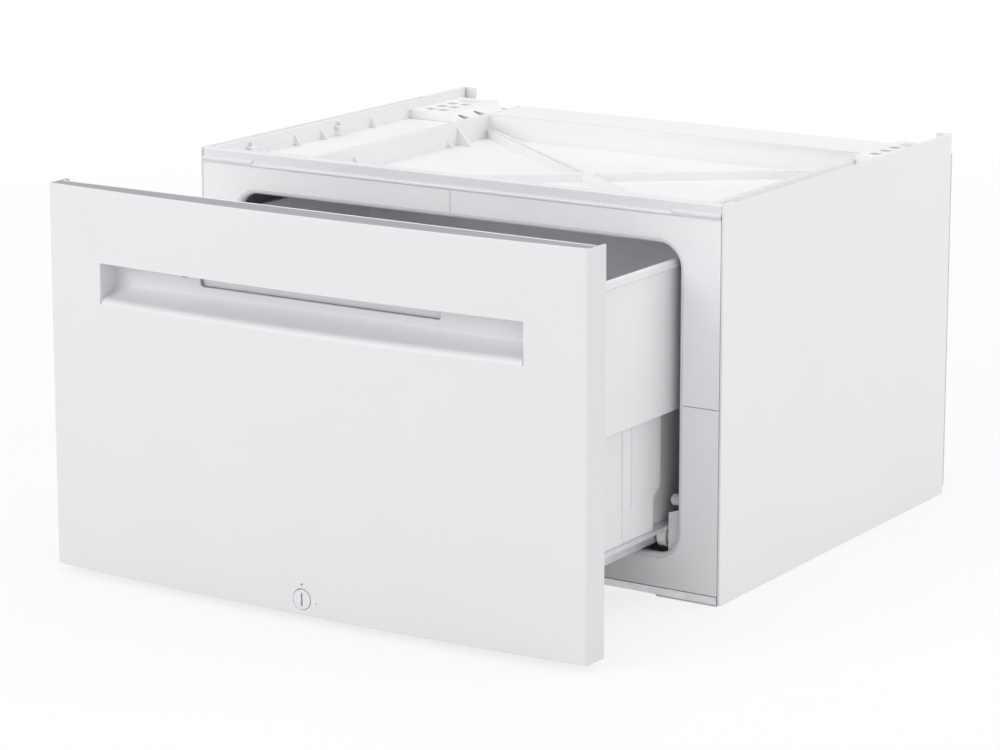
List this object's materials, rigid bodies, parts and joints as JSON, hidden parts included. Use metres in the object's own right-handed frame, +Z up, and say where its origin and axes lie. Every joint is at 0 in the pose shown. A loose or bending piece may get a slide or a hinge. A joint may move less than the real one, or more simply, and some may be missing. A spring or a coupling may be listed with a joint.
{
  "type": "washer pedestal drawer",
  "caption": "White steel pedestal for a laundry machine: open tray top with foot seats, and a roller drawer with a grip recess and a coin lock, standing part open.",
  "frame": {"origin": "middle of the cabinet's plan, on the floor", "axes": "+X right seen from the front, +Y to the back, +Z up; the drawer runs out along -Y"},
  "size_m": [0.598, 0.7304, 0.38],
  "materials": {
    "side_steel": "white powder coat, fine orange peel",
    "back_steel": "light grey coat, satin",
    "zinc_steel": "zinc-plated, brushed",
    "foot_plastic": "moulded, fine grain",
    "fascia_plastic": "moulded, fine grain, pale cool grey",
    "trim_plastic": "moulded, satin",
    "tray_plastic": "moulded, fine grain",
    "pin_steel": "zinc-plated",
    "roller_plastic": "smooth, hard",
    "front_plastic": "white, satin to gloss",
    "grey_plastic": "moulded grey, fine grain",
    "tub_plastic": "moulded white, fine grain",
    "stop_rubber": "matt"
  },
  "bodies": {
    "cabinet": {"side_panel_left": "side_steel", "side_panel_right": "side_steel", "back_panel": "back_steel", "base_front_rail": "zinc_steel", "base_rear_rail": "zinc_steel", "base_side_rail_left": "zinc_steel", "base_side_rail_right": "zinc_steel", "foot_pad_front_left": "foot_plastic", "foot_pad_front_right": "foot_plastic", "foot_pad_rear_left": "foot_plastic", "foot_pad_rear_right": "foot_plastic", "front_inner_frame": "zinc_steel", "front_frame_top_left": "fascia_plastic", "front_frame_top_right": "fascia_plastic", "front_frame_bottom_left": "fascia_plastic", "front_frame_bottom_right": "fascia_plastic", "opening_trim": "trim_plastic", "top_front_rail": "trim_plastic", "top_tray": "tray_plastic", "side_rail_left": "tray_plastic", "side_rail_right": "tray_plastic", "rear_foot_block_left": "tray_plastic", "rear_foot_block_right": "tray_plastic", "front_foot_plate_left": "tray_plastic", "front_foot_plate_right": "tray_plastic", "tray_clips": "tray_plastic", "runner_left": "zinc_steel", "runner_right": "zinc_steel", "runner_supports_left": "zinc_steel", "runner_supports_right": "zinc_steel", "roller_bracket_left": "trim_plastic", "roller_bracket_right": "trim_plastic", "front_roller_pin_left": "pin_steel", "front_roller_pin_right": "pin_steel", "guide_peg_left": "trim_plastic", "guide_peg_right": "trim_plastic", "frame_screws": "pin_steel", "back_panel_screws": "pin_steel"},
    "drawer": {"drawer_front": "front_plastic", "grip_insert": "tub_plastic", "inner_panel": "grey_plastic", "drawer_tub": "tub_plastic", "tub_collar": "tub_plastic", "tub_front_plate": "tub_plastic", "drawer_rail_left": "zinc_steel", "drawer_rail_right": "zinc_steel", "rear_roller_pin_left": "pin_steel", "rear_roller_pin_right": "pin_steel", "drawer_stop_left": "stop_rubber", "drawer_stop_right": "stop_rubber", "lock_housing": "grey_plastic", "drawer_front_screws": "pin_steel", "drawer_rail_screws": "pin_steel"},
    "front_roller_left_body": {"front_roller_left": "roller_plastic"},
    "front_roller_right_body": {"front_roller_right": "roller_plastic"},
    "rear_roller_left_body": {"rear_roller_left": "roller_plastic"},
    "rear_roller_right_body": {"rear_roller_right": "roller_plastic"},
    "lock": {"lock_knob": "front_plastic", "lock_cam": "zinc_steel", "lock_cam_screw": "pin_steel"}
  },
  "joints": [
    {"name": "drawer_slide", "type": "slide", "parent": "cabinet", "child": "drawer", "axis": [0, -1, 0], "range_m": [-0.206, 0.134]},
    {"name": "front_roller_left_spin", "type": "hinge", "parent": "cabinet", "child": "front_roller_left_body", "pos_m": [-0.2308, -0.221, 0.0554], "axis": [1, 0, 0], "range_deg": [-1080, 705]},
    {"name": "front_roller_right_spin", "type": "hinge", "parent": "cabinet", "child": "front_roller_right_body", "pos_m": [0.2308, -0.221, 0.0554], "axis": [1, 0, 0], "range_deg": [-1080, 705]},
    {"name": "rear_roller_left_spin", "type": "hinge", "parent": "drawer", "child": "rear_roller_left_body", "pos_m": [-0.2445, -0.0435, 0.0579], "axis": [1, 0, 0], "range_deg": [-1080, 705]},
    {"name": "rear_roller_right_spin", "type": "hinge", "parent": "drawer", "child": "rear_roller_right_body", "pos_m": [0.2445, -0.0435, 0.0579], "axis": [1, 0, 0], "range_deg": [-1080, 705]},
    {"name": "lock_turn", "type": "hinge", "parent": "drawer", "child": "lock", "pos_m": [0, -0.4485, 0.0225], "axis": [0, 1, 0], "range_deg": [0, 90]}
  ],
  "couplings": [
    {"joint": "front_roller_left_spin", "follows": "drawer_slide", "rad_per_m": 90.909},
    {"joint": "front_roller_right_spin", "follows": "drawer_slide", "rad_per_m": 90.909},
    {"joint": "rear_roller_left_spin", "follows": "drawer_slide", "rad_per_m": 90.909},
    {"joint": "rear_roller_right_spin", "follows": "drawer_slide", "rad_per_m": 90.909}
  ]
}
